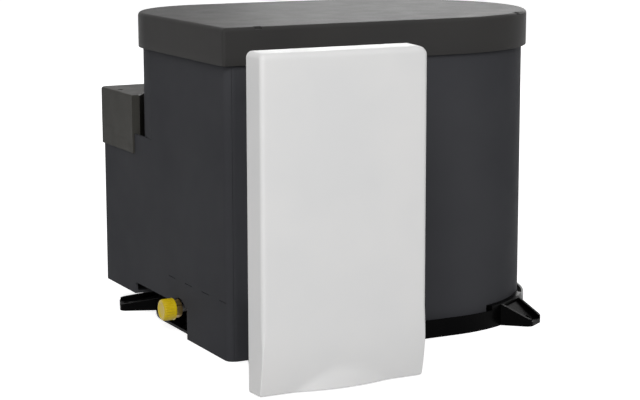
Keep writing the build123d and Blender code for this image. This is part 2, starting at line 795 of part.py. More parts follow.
def make_cowl_frame():
    """Black cowl box with its screw flange, side vents and the rim that the cover fits over."""
    flange_front = cowl_back - cowl_flange
    frame = cowl_block(-cowl_flange_margin, -cowl_flange_rise, flange_front, cowl_back)
    frame += cowl_block(0, 0, cowl_front, cowl_back)
    overlap = cover_back - cowl_front
    slack = cover_wall + fit_gap + overlap * math.tan(math.radians(cover_draft))
    rim_shape = RectangleRounded(cover_width - 2 * slack, cover_height - 2 * slack,
                                 cover_corner_radius - cover_wall)
    rim_plane = Plane((duct_x, cowl_front + cowl_rim, cover_lift + cover_height / 2),
                      x_dir=(1, 0, 0), z_dir=(0, -1, 0))
    frame += rim_plane * extrude(rim_shape, cowl_rim)
    frame -= cowl_block(cowl_wall, cowl_wall, cowl_front - cut_over, flange_front)
    frame -= duct_bore(flange_front - cut_over, cowl_back + cut_over)
    ledge_back = cowl_front + grille_set_back + grille_thickness
    ledge = cowl_block(cowl_wall, cowl_wall, ledge_back, ledge_back + cowl_wall)
    frame += ledge - cowl_block(2 * cowl_wall, 2 * cowl_wall,
                                ledge_back - cut_over, ledge_back + 2 * cowl_wall)
    vent_y = (flange_front + cover_back) / 2
    pitch = (cowl_height - 2 * cowl_corner_radius) / vent_count
    for number in range(vent_count):
        z = cowl_bottom + cowl_corner_radius + (number + 0.5) * pitch
        frame -= bar(duct_x - cowl_width, duct_x + cowl_width,
                     vent_y - vent_depth / 2, vent_y + vent_depth / 2,
                     z - vent_height / 2, z + vent_height / 2)
    for x, z in cowl_screw_holes():
        frame -= rod(cowl_hole_radius, (x, cowl_back + cut_over, z), (x, flange_front - cut_over, z))
    return frame


def cowl_screw_holes():
    """Places of the four flange screw holes in X and Z."""
    half_x = cowl_width / 2 + cowl_flange_margin - cowl_hole_side_inset
    half_z = cowl_height / 2 + cowl_flange_rise - cowl_hole_inset
    centre = cowl_bottom + cowl_height / 2
    return [(duct_x + a * half_x, centre + b * half_z) for a in (1, -1) for b in (1, -1)]


def make_cowl_grille():
    """Plate in the cowl: air slots below, round exhaust port above."""
    y_low = cowl_front + grille_set_back
    grille = cowl_block(cowl_wall + fit_gap, cowl_wall + fit_gap, y_low, y_low + grille_thickness)
    grille -= rod(exhaust_radius, (duct_x, y_low - cut_over, tube_high),
                  (duct_x, y_low + 2 * grille_thickness, tube_high))
    half = cowl_width / 2 - cowl_wall - grille_margin
    low = cowl_bottom + cowl_wall + grille_margin
    pitch = (tube_high - exhaust_radius - grille_margin - low) / grille_slot_count
    for number in range(grille_slot_count):
        z = low + number * pitch
        grille -= bar(duct_x - half, duct_x + half, y_low - cut_over, y_low + 2 * grille_thickness,
                      z, z + grille_slot_share * pitch)
    return grille


def cover_block(inset, depth):
    """Tapered block of the white cover, its lower end swept back, for a given inset."""
    width, height = cover_width - 2 * inset, cover_height - 2 * inset
    plane = Plane((duct_x, cover_back, cover_lift + cover_height / 2),
                  x_dir=(1, 0, 0), z_dir=(0, -1, 0))
    shape = RectangleRounded(width, height, cover_corner_radius - inset)
    block = plane * extrude(shape, depth, taper=cover_draft)
    y_face = cover_back - depth
    low = cover_lift + inset
    sweep_line = Polyline((y_face - cover_depth, cover_curl_height), (y_face, cover_curl_height))
    bend = ThreePointArc((y_face, cover_curl_height),
                         (y_face + cover_curl_depth / 4, low + cover_curl_height / 2),
                         (y_face + cover_curl_depth, low))
    tail = Polyline((y_face + cover_curl_depth, low), (y_face + cover_curl_depth, low - cover_depth),
                    (y_face - cover_depth, low - cover_depth), (y_face - cover_depth, cover_curl_height))
    cutter = Plane.YZ * make_face(Wire(sweep_line.edges() + bend.edges() + tail.edges()))
    return block - Pos(duct_x, 0, 0) * extrude(cutter, cover_width, both=True)


def pull_lip(inset):
    """Flared lip in the middle of the cover's lower edge, a piece of an upright cone."""
    half = pull_lip_width / 2
    radius = (half ** 2 + cover_curl_depth ** 2) / (2 * cover_curl_depth)
    slope = cover_curl_depth / 2 / pull_lip_height
    height = 2 * pull_lip_height
    low, high = radius - inset, radius - inset - slope * height
    cone = Pos(duct_x, cover_front + radius, cover_lift + height / 2) * Cone(low, high, height)
    reach = cover_front + 2 * cover_curl_depth
    return cone & bar(duct_x - cover_width / 3, duct_x + cover_width / 3,
                      cover_front - cover_depth, reach, 0, 2 * height)


def make_cowl_cover():
    """White cover that fits over the cowl's rim, with a pull lip in its lower edge."""
    outer = cover_block(0, cover_depth)
    face = outer.faces().filter_by(Plane.XZ).sort_by(Axis.Y)[0]
    rim = face.edges().filter_by(lambda edge: edge.center().Z > 2 * cover_curl_height)
    outer = fillet(rim, cover_edge_radius) + pull_lip(0)
    inner = cover_block(cover_wall, cover_depth - cover_wall) + pull_lip(cover_wall)
    skirt = bar(duct_x - cover_width, duct_x + cover_width, cover_front, cover_back,
                0, cover_lift + cover_wall)
    return outer - (inner - skirt)


def make_gas_inlet_pipe():
    """Steel pipe from the side opening to the valve."""
    start = (left - pipe_out, gas_y, gas_line_height)
    end = (left + valve_left, gas_y, gas_line_height)
    return rod(pipe_radius, start, end) - rod(pipe_radius - pipe_wall, start, end)


def make_gas_union_nut():
    """Brass union nut on the gas pipe."""
    start = left - nut_out
    place = Plane((start, gas_y, gas_line_height), z_dir=(1, 0, 0))
    nut = place * extrude(RegularPolygon(nut_across / 2, 6, major_radius=False), nut_length)
    nut &= rod(nut_turned * nut_across / 2, (start, gas_y, gas_line_height),
               (start + nut_length, gas_y, gas_line_height))
    return nut - rod(pipe_radius, (start - cut_over, gas_y, gas_line_height),
                     (start + nut_length + cut_over, gas_y, gas_line_height))


def make_gas_cap():
    """Yellow fluted cap pushed on the open pipe end."""
    inner_end = left - nut_out - fit_gap
    outer_end = inner_end - cap_length
    cap = rod(cap_radius, (outer_end, gas_y, gas_line_height), (inner_end, gas_y, gas_line_height))
    cap = fillet(cap.edges().sort_by(Axis.X)[0], cap_flute_radius)
    for number in range(cap_flute_count):
        angle = math.tau * number / cap_flute_count
        y = gas_y + (cap_radius + cap_flute_radius / 2) * math.cos(angle)
        z = gas_line_height + (cap_radius + cap_flute_radius / 2) * math.sin(angle)
        cap -= rod(cap_flute_radius, (outer_end + cap_flute_radius, y, z), (inner_end + cut_over, y, z))
    return cap - rod(pipe_radius + fit_gap, (inner_end - cap_bore_depth, gas_y, gas_line_height),
                     (inner_end + cut_over, gas_y, gas_line_height))


def valve_places():
    """Corner places of the valve body."""
    x_low = left + valve_left
    y_low = gas_y - valve_depth / 2
    return x_low, x_low + valve_length, y_low, y_low + valve_depth


def make_gas_valve_body():
    """Cast gas valve body with its plunger bore and outlet boss."""
    x_low, x_high, y_low, y_high = valve_places()
    body = bar(x_low, x_high, y_low, y_high, valve_bottom, valve_bottom + valve_height)
    body = fillet(body.edges().filter_by(Axis.Z), supply_radius)
    x_mid, z_mid = (x_low + x_high) / 2, gas_line_height
    body -= rod(plunger_radius + plunger_gap, (x_mid, y_high + cut_over, z_mid),
                (x_mid, plunger_end() - plunger_length, z_mid))
    for x in (x_low + supply_bend / 2, x_high - supply_bend / 2):
        body += rod(screw_head_radius, (x, gas_y, valve_bottom), (x, gas_y, tray_floor))
    return body


def make_solenoid_coil():
    """Coil can with end plates on the back of the valve."""
    x_low, x_high, y_low, y_high = valve_places()
    x_mid = (x_low + x_high) / 2
    coil = rod(coil_radius - coil_flange / 2, (x_mid, y_high, gas_line_height),
               (x_mid, y_high + coil_length, gas_line_height))
    for y in (y_high, y_high + coil_length - coil_flange):
        coil += rod(coil_radius, (x_mid, y, gas_line_height), (x_mid, y + coil_flange, gas_line_height))
    bore_end = y_high + coil_length - 2 * coil_flange
    return coil - rod(plunger_radius + plunger_gap, (x_mid, y_high - cut_over, gas_line_height),
                      (x_mid, bore_end, gas_line_height))


def plunger_end():
    """Y place of the plunger's back end at rest."""
    x_low, x_high, y_low, y_high = valve_places()
    return y_high + coil_length - 2 * coil_flange - spring_length


def make_valve_plunger():
    """Steel plunger that the coil pulls back."""
    x_low, x_high, y_low, y_high = valve_places()
    x_mid = (x_low + x_high) / 2
    end = plunger_end()
    return rod(plunger_radius, (x_mid, end - plunger_length, gas_line_height), (x_mid, end, gas_line_height))


def make_plunger_spring():
    """Closing spring behind the plunger."""
    x_low, x_high, y_low, y_high = valve_places()
    x_mid = (x_low + x_high) / 2
    run = spring_length - spring_wire - fit_gap
    helix = Helix(run / spring_turns, run, spring_radius)
    section = Plane(helix @ 0, z_dir=helix % 0) * Circle(spring_wire / 2)
    coil = sweep(section, helix)
    place = Plane((x_mid, plunger_end() + (spring_length - run) / 2, gas_line_height), z_dir=(0, 1, 0))
    return place * coil


def make_burner_gas_pipe():
    """Small pipe from the valve's top to the jet holder."""
    x_riser = supply_x()
    top = valve_bottom + valve_height
    y_valve, y_jet, radius = supply_turn()
    jet_bottom = tube_low - jet_hex / 2
    turn = duct_bottom + duct_wall + radius
    points = [(x_riser, y_valve, top), (x_riser, y_valve, turn),
              (x_riser, y_jet, turn), (x_riser, y_jet, jet_bottom)]
    path = FilletPolyline(*points, radius=radius)
    return pipe(path, supply_radius, supply_wall)


def switch_side():
    """Y place of the overheat switch: between the tubes, beside the burner's plate where they are close."""
    clear = burner_plate_radius + cutout_radius + cutout_clearance
    return -math.sqrt(max(clear ** 2 - tube_bend ** 2, 0))


def make_overheat_switch():
    """Disc thermostat on the exchanger's plate."""
    x_face = plate_left
    side = switch_side()
    switch = rod(cutout_radius, (x_face - cutout_height, side, neck_centre), (x_face, side, neck_centre))
    for sign in (1, -1):
        y = side + sign * cutout_radius / 2
        switch += bar(x_face - 2 * cutout_height, x_face - cutout_height, y - cutout_height / 2,
                      y + cutout_height / 2, neck_centre - tank_wall / 2, neck_centre + tank_wall / 2)
    return switch


def make_temperature_sensor():
    """Sensor pocket plug on the exchanger's plate beside the outlet."""
    y = neck_width / 2 - 2 * sensor_radius
    z = neck_centre
    sensor = rod(sensor_radius, (plate_left - sensor_length, y, z), (plate_left, y, z))
    return sensor + Plane((plate_left - sensor_radius, y, z), z_dir=(1, 0, 0)) * extrude(
        RegularPolygon(1.6 * sensor_radius, 6), sensor_radius)


def make_water_pipe(x, z):
    """Water pipe stub from the tank out through the back of the casing."""
    start = math.sqrt((tank_radius - tank_wall) ** 2 - x ** 2)
    stub = rod(water_radius, (x, start, z), (x, back + water_reach, z))
    stub -= rod(water_radius - water_wall, (x, start - cut_over, z),
                (x, back + water_reach + cut_over, z))
    bead = back + water_reach / 2
    ring = rod(water_radius + water_wall, (x, bead, z), (x, bead + water_wall, z))
    ring -= rod(water_radius - water_wall, (x, back, z), (x, back + water_reach, z))
    return stub + ring


def make_water_grommets():
    """Rubber grommets round both water pipes in the back wall."""
    rings = []
    for x, z in water_places:
        body = rod(grommet_groove_radius, (x, back - panel_wall, z), (x, back + grommet_flange, z))
        body += rod(grommet_radius, (x, back, z), (x, back + grommet_flange, z))
        rings.append(body - rod(water_radius, (x, back - 2 * panel_wall, z),
                                (x, back + 2 * panel_wall, z)))
    return Compound(children=rings)


def board_centre():
    """X and Z centre of the control board and the Y place of its back face."""
    x = left + housing_length - panel_wall - board_width / 2 - fit_gap
    return x, board_bottom + board_height / 2, back + housing_depth - panel_wall - board_stand_off


def board_posts():
    """Places of the four board posts in X and Z."""
    x = board_centre()[0]
    half = board_width / 2 - board_hole_inset
    heights = (board_bottom + board_hole_inset, housing_top - board_post_drop)
    return [(x + sign * half, z) for sign in (1, -1) for z in heights]


def make_circuit_board():
    """Control board on its posts."""
    x, z, y = board_centre()
    board = bar(x - board_width / 2, x + board_width / 2, y - board_thickness, y,
                z - board_height / 2, z + board_height / 2)
    for post_x, post_z in board_posts():
        board -= rod(screw_radius / 2 + fit_gap, (post_x, y + cut_over, post_z),
                     (post_x, y - board_thickness - cut_over, post_z))
    return board


def terminal_bottom():
    """Height of the terminal block's lower edge."""
    return board_bottom + board_height - terminal_height - board_hole_inset


def make_board_parts():
    """Relay, chokes and chip on the board."""
    x, z, y = board_centre()
    face = y - board_thickness
    relay_top = board_bottom + 2 * relay_size
    parts = [bar(x - relay_size / 2, x + relay_size / 2, face - relay_height, face,
                 board_bottom + relay_size, relay_top)]
    pitch = (terminal_bottom() - relay_top) / (choke_count + 1)
    radius = min(choke_radius, choke_share * pitch)
    for number in range(choke_count):
        z_choke = relay_top + (number + 1) * pitch
        parts.append(rod(radius, (x, face, z_choke), (x, face - choke_height, z_choke)))
    return Compound(children=parts)


def make_terminal_block():
    """Terminal block along the board's upper edge."""
    x, z, y = board_centre()
    face = y - board_thickness
    z_low = terminal_bottom()
    block = bar(x - terminal_width / 2, x + terminal_width / 2, face - terminal_depth, face,
                z_low, z_low + terminal_height)
    pitch = terminal_width / terminal_ways
    for number in range(terminal_ways):
        way = x - terminal_width / 2 + (number + 0.5) * pitch
        block -= bar(way - pitch / 4, way + pitch / 4, face - terminal_depth - cut_over,
                     face - terminal_depth / 2, z_low + terminal_height / 4, z_low + terminal_height * 3 / 4)
    return block


def make_board_screws():
    """Screws that hold the board on its posts."""
    x, z, y = board_centre()
    face = y - board_thickness
    screws = []
    for post_x, post_z in board_posts():
        head = rod(screw_radius, (post_x, face - screw_radius / 2, post_z), (post_x, face, post_z))
        screws.append(head + rod(screw_radius / 2, (post_x, face, post_z),
                                 (post_x, y + board_stand_off / 2, post_z)))
    return Compound(children=screws)


pieces["base_tray"] = make_base_tray()
pieces["casing_shell"] = make_casing_shell()
pieces["side_panel"] = make_side_panel()
pieces["lid"] = make_lid()
pieces["control_box_cover"] = make_control_box_cover()
pieces["water_tank"] = make_water_tank()
pieces["heat_exchanger"] = make_heat_exchanger()
pieces["flange_gasket"] = make_flange_gasket()
pieces["flange_screws"] = make_flange_screws()
pieces["insulation_lower"] = make_insulation_lower()
pieces["insulation_upper"] = make_insulation_upper()
pieces["burner_chamber"] = make_burner_chamber()
pieces["burner_tube"] = make_burner_tube()
pieces["jet_holder"] = make_jet_holder()
pieces["ignition_electrode"] = make_rod(1)
pieces["flame_sensor"] = make_rod(-1)
pieces["overheat_switch"] = make_overheat_switch()
pieces["temperature_sensor"] = make_temperature_sensor()
pieces["exhaust_tube"] = make_exhaust_tube()
pieces["air_duct"] = make_air_duct()
pieces["cowl_seal"] = make_cowl_seal()
pieces["cowl_frame"] = make_cowl_frame()
pieces["cowl_grille"] = make_cowl_grille()
pieces["cowl_cover"] = make_cowl_cover()
pieces["gas_inlet_pipe"] = make_gas_inlet_pipe()
pieces["gas_union_nut"] = make_gas_union_nut()
pieces["gas_cap"] = make_gas_cap()
pieces["gas_valve_body"] = make_gas_valve_body()
pieces["solenoid_coil"] = make_solenoid_coil()
pieces["valve_plunger"] = make_valve_plunger()
pieces["plunger_spring"] = make_plunger_spring()
pieces["burner_gas_pipe"] = make_burner_gas_pipe()
pieces["cold_water_pipe"] = make_water_pipe(*water_places[0])
pieces["hot_water_pipe"] = make_water_pipe(*water_places[1])
pieces["water_grommets"] = make_water_grommets()
pieces["circuit_board"] = make_circuit_board()
pieces["board_parts"] = make_board_parts()
pieces["terminal_block"] = make_terminal_block()
pieces["board_screws"] = make_board_screws()

os.makedirs("parts", exist_ok=True)
for name, shape in pieces.items():
    export_step(shape, f"parts/{name}.step")
    box = shape.bounding_box()
    print(name, round(shape.volume), box.min, box.max)
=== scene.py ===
import bpy
import math
import numpy as np
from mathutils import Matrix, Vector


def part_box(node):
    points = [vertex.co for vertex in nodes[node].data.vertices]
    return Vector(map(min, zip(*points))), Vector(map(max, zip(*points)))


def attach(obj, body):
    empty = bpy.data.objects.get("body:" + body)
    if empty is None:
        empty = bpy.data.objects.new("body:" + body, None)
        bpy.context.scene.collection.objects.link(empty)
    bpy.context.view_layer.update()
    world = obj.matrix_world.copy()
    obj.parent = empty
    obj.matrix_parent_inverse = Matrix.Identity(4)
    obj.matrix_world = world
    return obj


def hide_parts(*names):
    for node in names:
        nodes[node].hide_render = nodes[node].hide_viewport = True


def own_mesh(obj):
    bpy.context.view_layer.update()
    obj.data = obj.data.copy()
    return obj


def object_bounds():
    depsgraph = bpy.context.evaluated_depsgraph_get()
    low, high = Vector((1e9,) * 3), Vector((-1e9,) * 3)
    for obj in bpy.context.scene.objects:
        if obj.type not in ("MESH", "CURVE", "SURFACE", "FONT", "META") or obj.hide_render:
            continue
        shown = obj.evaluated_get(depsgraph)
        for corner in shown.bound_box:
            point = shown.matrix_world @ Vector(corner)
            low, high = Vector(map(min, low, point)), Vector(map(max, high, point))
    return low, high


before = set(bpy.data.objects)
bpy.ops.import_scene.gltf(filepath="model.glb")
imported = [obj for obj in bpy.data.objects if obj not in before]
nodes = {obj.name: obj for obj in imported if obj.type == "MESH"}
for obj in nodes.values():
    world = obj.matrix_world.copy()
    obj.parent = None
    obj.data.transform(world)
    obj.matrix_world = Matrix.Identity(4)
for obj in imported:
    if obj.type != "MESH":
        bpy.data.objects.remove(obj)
cad_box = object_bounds()


# Base tray: one injection moulding in glossy black plastic that carries the whole heater.
# It has a proud rim round the tank end, a flat floor, two webbed feet at the round end and one at the
# gas side, each with a screw hole through its tip. The casing stands in it.
def shader_group(name, inputs, outputs):
    """An empty shader group with its named inputs and outputs."""
    tree = bpy.data.node_groups.new(name, "ShaderNodeTree")
    for label, kind, value in inputs:
        socket = tree.interface.new_socket(label, in_out="INPUT", socket_type=kind)
        socket.default_value = value
    for label, kind in outputs:
        tree.interface.new_socket(label, in_out="OUTPUT", socket_type=kind)
    return tree, tree.nodes.new("NodeGroupInput"), tree.nodes.new("NodeGroupOutput")


def set_or_link(tree, socket, value):
    """Writes a plain number into a socket, or links another socket to it."""
    if isinstance(value, (int, float)):
        socket.default_value = value
    else:
        tree.links.new(value, socket)


def noise(tree, vector, scale, detail):
    """Cloudy noise over object coordinates, from 0 to 1 and mostly near a half."""
    node = tree.nodes.new("ShaderNodeTexNoise")
    tree.links.new(vector, node.inputs["Vector"])
    set_or_link(tree, node.inputs["Scale"], scale)
    node.inputs["Detail"].default_value = detail
    return node.outputs["Fac"]


def spread(tree, value, low, high, band=(0.35, 0.65)):
    """Stretches the middle band of a noise over the range low to high."""
    node = tree.nodes.new("ShaderNodeMapRange")
    tree.links.new(value, node.inputs["Value"])
    node.inputs["From Min"].default_value, node.inputs["From Max"].default_value = band
    set_or_link(tree, node.inputs["To Min"], low)
    set_or_link(tree, node.inputs["To Max"], high)
    return node.outputs["Result"]


def drifting_colour(tree, given, first, second, share):
    """Blends two of the group's colours by a share that changes over the surface."""
    mix = tree.nodes.new("ShaderNodeMix")
    mix.data_type = "RGBA"
    tree.links.new(share, mix.inputs["Factor"])
    tree.links.new(given.outputs[first], mix.inputs["A"])
    tree.links.new(given.outputs[second], mix.inputs["B"])
    return mix.outputs["Result"]


def bumps(tree, height, strength, distance):
    """Normals of a relief: its height, its strength and how tall a full step stands, in metres."""
    node = tree.nodes.new("ShaderNodeBump")
    node.inputs["Distance"].default_value = distance
    tree.links.new(strength, node.inputs["Strength"])
    tree.links.new(height, node.inputs["Height"])
    return node.outputs["Normal"]


def moulded_group():
    """Moulded plastic: slow colour drift, slow changes of roughness and a fine spark-eroded grain."""
    colour, number = "NodeSocketColor", "NodeSocketFloat"
    drift_scale, haze_scale, grain_step = 9.0, 40.0, 0.0004
    tree, given, result = shader_group(
        "moulded_plastic",
        [("Colour", colour, (0.05, 0.05, 0.05, 1)), ("Second colour", colour, (0.06, 0.06, 0.06, 1)),
         ("Grain size", number, 900.0), ("Grain depth", number, 0.2),
         ("Roughness low", number, 0.4), ("Roughness high", number, 0.5)],
        [("Colour", colour), ("Roughness", number), ("Normal", "NodeSocketVector")])
    place = tree.nodes.new("ShaderNodeTexCoord").outputs["Object"]
    drift = spread(tree, noise(tree, place, drift_scale, detail=3.0), 0.0, 1.0)
    tree.links.new(drifting_colour(tree, given, "Colour", "Second colour", drift), result.inputs["Colour"])
    haze = noise(tree, place, haze_scale, detail=4.0)
    rough = spread(tree, haze, given.outputs["Roughness low"], given.outputs["Roughness high"])
    tree.links.new(rough, result.inputs["Roughness"])
    grain = noise(tree, place, given.outputs["Grain size"], detail=2.0)
    tree.links.new(bumps(tree, grain, given.outputs["Grain depth"], grain_step), result.inputs["Normal"])
    return tree


def finish(name, group, metallic=0.0, coat=0.0, specular=0.5, **values):
    """A material whose Principled BSDF takes its colour, roughness and normal from a shared group."""
    made = bpy.data.materials.new(name)
    made.use_nodes = True
    tree = made.node_tree
    shader = tree.nodes["Principled BSDF"]
    source = tree.nodes.new("ShaderNodeGroup")
    source.node_tree = group
    for label, value in values.items():
        source.inputs[label.replace("_", " ")].default_value = value
    tree.links.new(source.outputs["Colour"], shader.inputs["Base Color"])
    tree.links.new(source.outputs["Roughness"], shader.inputs["Roughness"])
    tree.links.new(source.outputs["Normal"], shader.inputs["Normal"])
    shader.inputs["Metallic"].default_value = metallic
    shader.inputs["Coat Weight"].default_value = coat
    shader.inputs["Specular IOR Level"].default_value = specular
    made.diffuse_color = source.inputs["Colour"].default_value
    return made


def dress(paint, *names):
    """Gives the named CAD pieces one finish in all their slots."""
    for name in names:
        for slot in nodes[name].material_slots:
            slot.material = paint


moulded = moulded_group()
tray_plastic = finish("tray_plastic", moulded, specular=0.025, Colour=(0.0006, 0.0006, 0.0007, 1),
                      Second_colour=(0.001, 0.001, 0.001, 1), Grain_size=500.0, Grain_depth=0.05,
                      Roughness_low=0.2, Roughness_high=0.3)
dress(tray_plastic, "base_tray")


# Water tank with its heat exchanger: a domed tank of thin stainless sheet, deep drawn and welded round.
# A stainless plate with the U-shaped flame tube closes its flanged neck, clamped on a rubber gasket by a
# ring of zinc-plated screws and nuts. Two shells of moulded white foam hold the tank in the casing.
def metal_group():
    """Rolled or turned metal: colour drift with faint stains, and fine scratches drawn out along one axis."""
    colour, number = "NodeSocketColor", "NodeSocketFloat"
    stain_scale, scratch_scale, scratch_step = 22.0, 700.0, 0.0002
    tree, given, result = shader_group(
        "worked_metal",
        [("Colour", colour, (0.6, 0.6, 0.6, 1)), ("Stain colour", colour, (0.5, 0.5, 0.5, 1)),
         ("Stretch", "NodeSocketVector", (1.0, 1.0, 1.0)), ("Scratch depth", number, 0.15),
         ("Roughness low", number, 0.25), ("Roughness high", number, 0.4)],
        [("Colour", colour), ("Roughness", number), ("Normal", "NodeSocketVector")])
    place = tree.nodes.new("ShaderNodeTexCoord").outputs["Object"]
    drift = spread(tree, noise(tree, place, stain_scale, detail=4.0), 0.0, 1.0)
    tree.links.new(drifting_colour(tree, given, "Colour", "Stain colour", drift), result.inputs["Colour"])
    drawn = tree.nodes.new("ShaderNodeMapping")
    tree.links.new(place, drawn.inputs["Vector"])
    tree.links.new(given.outputs["Stretch"], drawn.inputs["Scale"])
    scratches = noise(tree, drawn.outputs["Vector"], scratch_scale, detail=2.0)
    rough = spread(tree, scratches, given.outputs["Roughness low"], given.outputs["Roughness high"])
    tree.links.new(rough, result.inputs["Roughness"])
    relief = bumps(tree, scratches, given.outputs["Scratch depth"], scratch_step)
    tree.links.new(relief, result.inputs["Normal"])
    return tree


metal = metal_group()
stainless = finish("stainless", metal, metallic=1.0, Colour=(0.52, 0.52, 0.52, 1),
                   Stain_colour=(0.44, 0.43, 0.42, 1), Stretch=(1.0, 1.0, 0.06), Scratch_depth=0.25,
                   Roughness_low=0.24, Roughness_high=0.42)
zinc = finish("zinc", metal, metallic=1.0, Colour=(0.55, 0.56, 0.58, 1), Stain_colour=(0.48, 0.48, 0.47, 1),
              Stretch=(0.2, 1.0, 1.0), Scratch_depth=0.2, Roughness_low=0.28, Roughness_high=0.45)
rubber = finish("rubber", moulded, Colour=(0.012, 0.012, 0.012, 1), Second_colour=(0.02, 0.02, 0.019, 1),
                Grain_size=700.0, Grain_depth=0.4, Roughness_low=0.7, Roughness_high=0.85)
foam = finish("foam", moulded, Colour=(0.72, 0.74, 0.78, 1), Second_colour=(0.82, 0.83, 0.86, 1),
              Grain_size=260.0, Grain_depth=1.0, Roughness_low=0.8, Roughness_high=0.95)
dress(stainless, "water_tank", "heat_exchanger")
dress(rubber, "flange_gasket")
dress(zinc, "flange_screws")
dress(foam, "insulation_lower", "insulation_upper")


# Burner with its chamber: a folded box of zinc-coated sheet, sealed to the exchanger's plate.
# The stainless burner tube fires into the flame tube, fed by a turned brass jet. The two rods beside it
# are wires in ceramic sleeves, and the overheat switch and sensor sit on the plate.
brass = finish("brass", metal, metallic=1.0, Colour=(0.50, 0.36, 0.13, 1), Stain_colour=(0.34, 0.24, 0.10, 1),
               Stretch=(0.1, 1.0, 1.0), Scratch_depth=0.25, Roughness_low=0.3, Roughness_high=0.5)
ceramic = finish("ceramic", moulded, coat=0.5, Colour=(0.78, 0.76, 0.70, 1),
                 Second_colour=(0.72, 0.70, 0.64, 1), Grain_size=600.0, Grain_depth=0.1,
                 Roughness_low=0.2, Roughness_high=0.35)
dress(zinc, "burner_chamber")
dress(stainless, "burner_tube")
dress(brass, "jet_holder", "temperature_sensor")
dress(ceramic, "ignition_electrode", "flame_sensor", "overheat_switch")


# Casing: a wrapped wall of dark grey grained plastic round the tank end, the front and the back.
# The flat side panel, with the front corner and the squared connection housing moulded on, closes the
# gas side. Both stand in the tray and meet at a thin seam round the corner on the front.
casing_plastic = finish("casing_plastic", moulded, specular=0.004, Colour=(0.052, 0.0528, 0.058, 1),
                        Second_colour=(0.058, 0.0588, 0.064, 1), Grain_size=1500.0, Grain_depth=0.35,
                        Roughness_low=0.44, Roughness_high=0.52)
dress(casing_plastic, "casing_shell", "side_panel")


# Gas line: a plated steel pipe leads in through the side opening, with a brass union nut on its end.
# The nut is a bar hexagon with its corners turned off at both ends, over a rolled olive. A soft yellow
# push-on cap with 24 flutes and a dished end keeps dirt out of the open pipe.
mm_per_metre = 1000


def surface(name, points, paint, body, node=None, close_first=False, close_last=False, angle=35):
    """A mesh through rows of points in millimetres, which rides on a body and may stand for a CAD node.

    Each row is a closed ring, joined to the next by four-sided faces. The first and last ring are filled
    if asked, and an edge sharper than the angle in degrees stays sharp.
    """
    count, places = points.shape[:2]
    row = np.arange(count - 1)[:, None] * places
    first = np.arange(places)[None, :]
    after = (first + 1) % places
    quads = np.stack([row + first, row + after, row + places + after, row + places + first], axis=-1)
    faces = quads.reshape(-1, 4).tolist()
    if close_first:
        faces.append(np.arange(places)[::-1].tolist())
    if close_last:
        faces.append((np.arange(places) + (count - 1) * places).tolist())
    mesh = bpy.data.meshes.new(name)
    mesh.from_pydata((points.reshape(-1, 3) / mm_per_metre).tolist(), [], faces)
    mesh.materials.append(paint)
    mesh.polygons.foreach_set("use_smooth", np.ones(len(mesh.polygons), dtype=bool))
    mesh.set_sharp_from_angle(angle=math.radians(angle))
    piece = bpy.data.objects.new(name, mesh)
    bpy.context.collection.objects.link(piece)
    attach(piece, body)
    if node:
        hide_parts(node)
    return piece


def frame_box(name):
    """Low and high corner of a CAD piece, in millimetres."""
    low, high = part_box(name)
    return np.array(low) * mm_per_metre, np.array(high) * mm_per_metre


def round_turn(places):
    """Even angles round a full circle."""
    return np.linspace(0, 2 * math.pi, places, endpoint=False)


def turned_along_x(centre, along, radius):
    """Turned shape: a ring at each distance along X, each place at its radius times the cosine and sine."""
    turn = round_turn(radius.shape[1])
    return np.stack([centre[0] + along[:, None] + 0 * radius, centre[1] + radius * np.cos(turn),
                     centre[2] + radius * np.sin(turn)], axis=-1)


nut_low, nut_high = frame_box("gas_union_nut")
nut_centre = (nut_low + nut_high) / 2
nut_length = nut_high[0] - nut_low[0]
nut_face = (nut_low[0], nut_centre[1], nut_centre[2])
nut_across = 17.0
nut_end_along = np.array([0.0, 0.0, 0.5, 1.2])
nut_end_shares = np.array([0.62, 0.93, 1.02, 1.16])
nut_along = np.concatenate([nut_end_along, nut_length - nut_end_along[::-1]])
nut_limit = nut_across / 2 * np.concatenate([nut_end_shares, nut_end_shares[::-1]])
# The radius is that of a hexagon, half its width over the cosine of the angle from the nearest flat,
# but never more than the cone turned on the corners.
sixth, twelfth = math.pi / 3, math.pi / 6
nut_hexagon = nut_across / 2 / np.cos((round_turn(144) + twelfth) % sixth - twelfth)
nut_points = turned_along_x(nut_face, nut_along, np.minimum(nut_hexagon[None, :], nut_limit[:, None]))
surface("union_nut", nut_points, brass, "heater", "gas_union_nut", close_first=True, close_last=True,
        angle=25)

olive_along = np.array([2.0, 0.5, -0.4, -1.2, -1.5])
olive_radius = np.array([4.2, 6.4, 6.2, 5.0, 4.1])[:, None] + np.zeros((1, 72))
surface("nut_olive", turned_along_x(nut_face, olive_along, olive_radius)[::-1], brass, "heater",
        close_first=True, close_last=True)

cap_plastic = finish("cap_plastic", moulded, specular=0.3, Colour=(0.56, 0.385, 0.002, 1),
                     Second_colour=(0.61, 0.44, 0.003, 1), Grain_size=900.0, Grain_depth=0.15,
                     Roughness_low=0.3, Roughness_high=0.4)
cap_inner_end = frame_box("gas_cap")[1][0]
cap_flutes = 24
cap_flute_depth = 0.75
flute_start, flute_stop, flute_least_radius = 5.0, 12.5, 10.9
cap_along = -np.array([9.0, 0.4, 0.0, 0.0, 0.25, 0.7, 1.5, 1.8, 6.0, 11.2, 12.3, 12.9, 13.3, 13.5, 13.6, 13.5,
                       13.1, 12.9, 12.9, 12.9])
cap_radius = np.array([4.4, 4.4, 4.8, 10.9, 11.35, 11.5, 11.5, 11.45, 11.4, 11.25, 11.0, 10.6, 10.0, 9.3, 8.6,
                       7.9, 7.3, 6.6, 3.0, 0.3])
